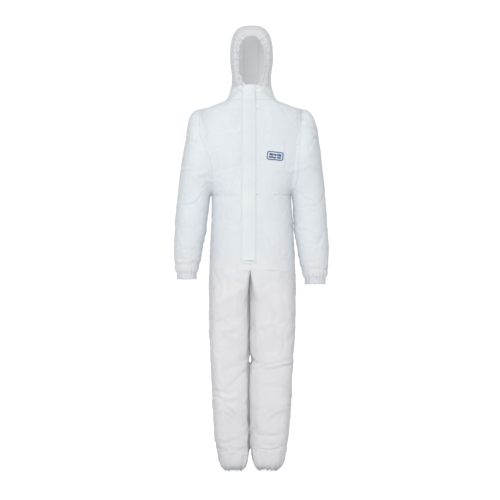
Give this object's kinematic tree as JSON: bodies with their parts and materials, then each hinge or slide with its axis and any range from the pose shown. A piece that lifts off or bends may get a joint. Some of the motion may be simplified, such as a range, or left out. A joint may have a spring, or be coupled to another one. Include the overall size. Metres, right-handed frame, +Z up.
{
  "type": "chemical protective suit",
  "caption": "Hooded one-piece protective coverall with a storm flap over a front zip and elastic face opening, waist, cuffs and ankles.",
  "frame": {"origin": "centre of the suit's outline on the floor, under the ankles", "axes": "+Z up from the ankles to the hood, the suit faces -Y, +X is the wearer's left"},
  "size_m": [0.618, 0.2608, 1.7756],
  "materials": {
    "coated_nonwoven": "matte coated non-woven",
    "covered_elastic": "gathered, matte",
    "woven_tape": "matte woven",
    "nylon_coil": "satin",
    "zip_metal": "satin",
    "printed_badge": "printed"
  },
  "bodies": {
    "torso": {"front_panel_left": "coated_nonwoven", "front_panel_right": "coated_nonwoven", "back_panel_left": "coated_nonwoven", "back_panel_right": "coated_nonwoven", "collar_left": "coated_nonwoven", "collar_right": "coated_nonwoven", "crotch_gusset": "coated_nonwoven", "waist_elastic": "covered_elastic", "zip_tape_left": "woven_tape", "zip_tape_right": "woven_tape", "zip_coil_left": "nylon_coil", "zip_coil_right": "nylon_coil", "zip_top_stop_left": "nylon_coil", "zip_top_stop_right": "nylon_coil", "zip_bottom_stop": "nylon_coil", "flap_end_patch": "woven_tape", "chest_badge": "printed_badge"},
    "hood": {"hood_centre_panel": "coated_nonwoven", "hood_side_left": "coated_nonwoven", "hood_side_right": "coated_nonwoven", "face_elastic": "covered_elastic"},
    "flap": {"storm_flap": "coated_nonwoven"},
    "slider": {"zip_slider": "zip_metal"},
    "pull_tab": {"zip_pull_tab": "zip_metal"},
    "upper_arm_left": {"upper_sleeve_left": "coated_nonwoven"},
    "forearm_left": {"lower_sleeve_left": "coated_nonwoven", "wrist_elastic_left": "covered_elastic"},
    "thigh_left": {"thigh_front_left": "coated_nonwoven", "thigh_back_left": "coated_nonwoven"},
    "shin_left": {"shin_front_left": "coated_nonwoven", "shin_back_left": "coated_nonwoven", "ankle_elastic_left": "covered_elastic"},
    "upper_arm_right": {"upper_sleeve_right": "coated_nonwoven"},
    "forearm_right": {"lower_sleeve_right": "coated_nonwoven", "wrist_elastic_right": "covered_elastic"},
    "thigh_right": {"thigh_front_right": "coated_nonwoven", "thigh_back_right": "coated_nonwoven"},
    "shin_right": {"shin_front_right": "coated_nonwoven", "shin_back_right": "coated_nonwoven", "ankle_elastic_right": "covered_elastic"}
  },
  "joints": [
    {"name": "hood_fold", "type": "hinge", "parent": "torso", "child": "hood", "pos_m": [0, 0.09173, 1.482], "axis": [-1, 0, 0], "range_deg": [0, 100]},
    {"name": "flap_open", "type": "hinge", "parent": "torso", "child": "flap", "pos_m": [0.0235, -0.11302, 1.17993], "axis": [0, 0.0228, 0.9997], "range_deg": [0, 130]},
    {"name": "zip_slide", "type": "slide", "parent": "torso", "child": "slider", "axis": [0, -0.0228, -0.9997], "range_m": [0, 0.66]},
    {"name": "tab_lift", "type": "hinge", "parent": "slider", "child": "pull_tab", "pos_m": [0, -0.10678, 1.51516], "axis": [-1, 0, 0], "range_deg": [0, 18]},
    {"name": "shoulder_left", "type": "hinge", "parent": "torso", "child": "upper_arm_left", "pos_m": [0.202, 0, 1.438], "axis": [0, -1, 0], "range_deg": [0, 75]},
    {"name": "elbow_left", "type": "hinge", "parent": "upper_arm_left", "child": "forearm_left", "pos_m": [0.236, -0.0694, 1.02], "axis": [-1, 0, 0], "range_deg": [0, 90], "stiffness_Nm_per_rad": 0.04, "springref_deg": -17.19},
    {"name": "hip_left", "type": "hinge", "parent": "torso", "child": "thigh_left", "pos_m": [0.088, -0.12108, 0.7993], "axis": [-1, 0, 0], "range_deg": [0, 70], "stiffness_Nm_per_rad": 0.3, "springref_deg": -20.05},
    {"name": "knee_left", "type": "hinge", "parent": "thigh_left", "child": "shin_left", "pos_m": [0.085, 0.0904, 0.4603], "axis": [1, 0, 0], "range_deg": [0, 75], "stiffness_Nm_per_rad": 0.12, "springref_deg": -20.05},
    {"name": "shoulder_right", "type": "hinge", "parent": "torso", "child": "upper_arm_right", "pos_m": [-0.202, 0, 1.438], "axis": [0, 1, 0], "range_deg": [0, 75]},
    {"name": "elbow_right", "type": "hinge", "parent": "upper_arm_right", "child": "forearm_right", "pos_m": [-0.236, -0.0694, 1.02], "axis": [-1, 0, 0], "range_deg": [0, 90], "stiffness_Nm_per_rad": 0.04, "springref_deg": -17.19},
    {"name": "hip_right", "type": "hinge", "parent": "torso", "child": "thigh_right", "pos_m": [-0.088, -0.12108, 0.7993], "axis": [-1, 0, 0], "range_deg": [0, 70], "stiffness_Nm_per_rad": 0.3, "springref_deg": -20.05},
    {"name": "knee_right", "type": "hinge", "parent": "thigh_right", "child": "shin_right", "pos_m": [-0.085, 0.0904, 0.4603], "axis": [1, 0, 0], "range_deg": [0, 75], "stiffness_Nm_per_rad": 0.12, "springref_deg": -20.05}
  ]
}
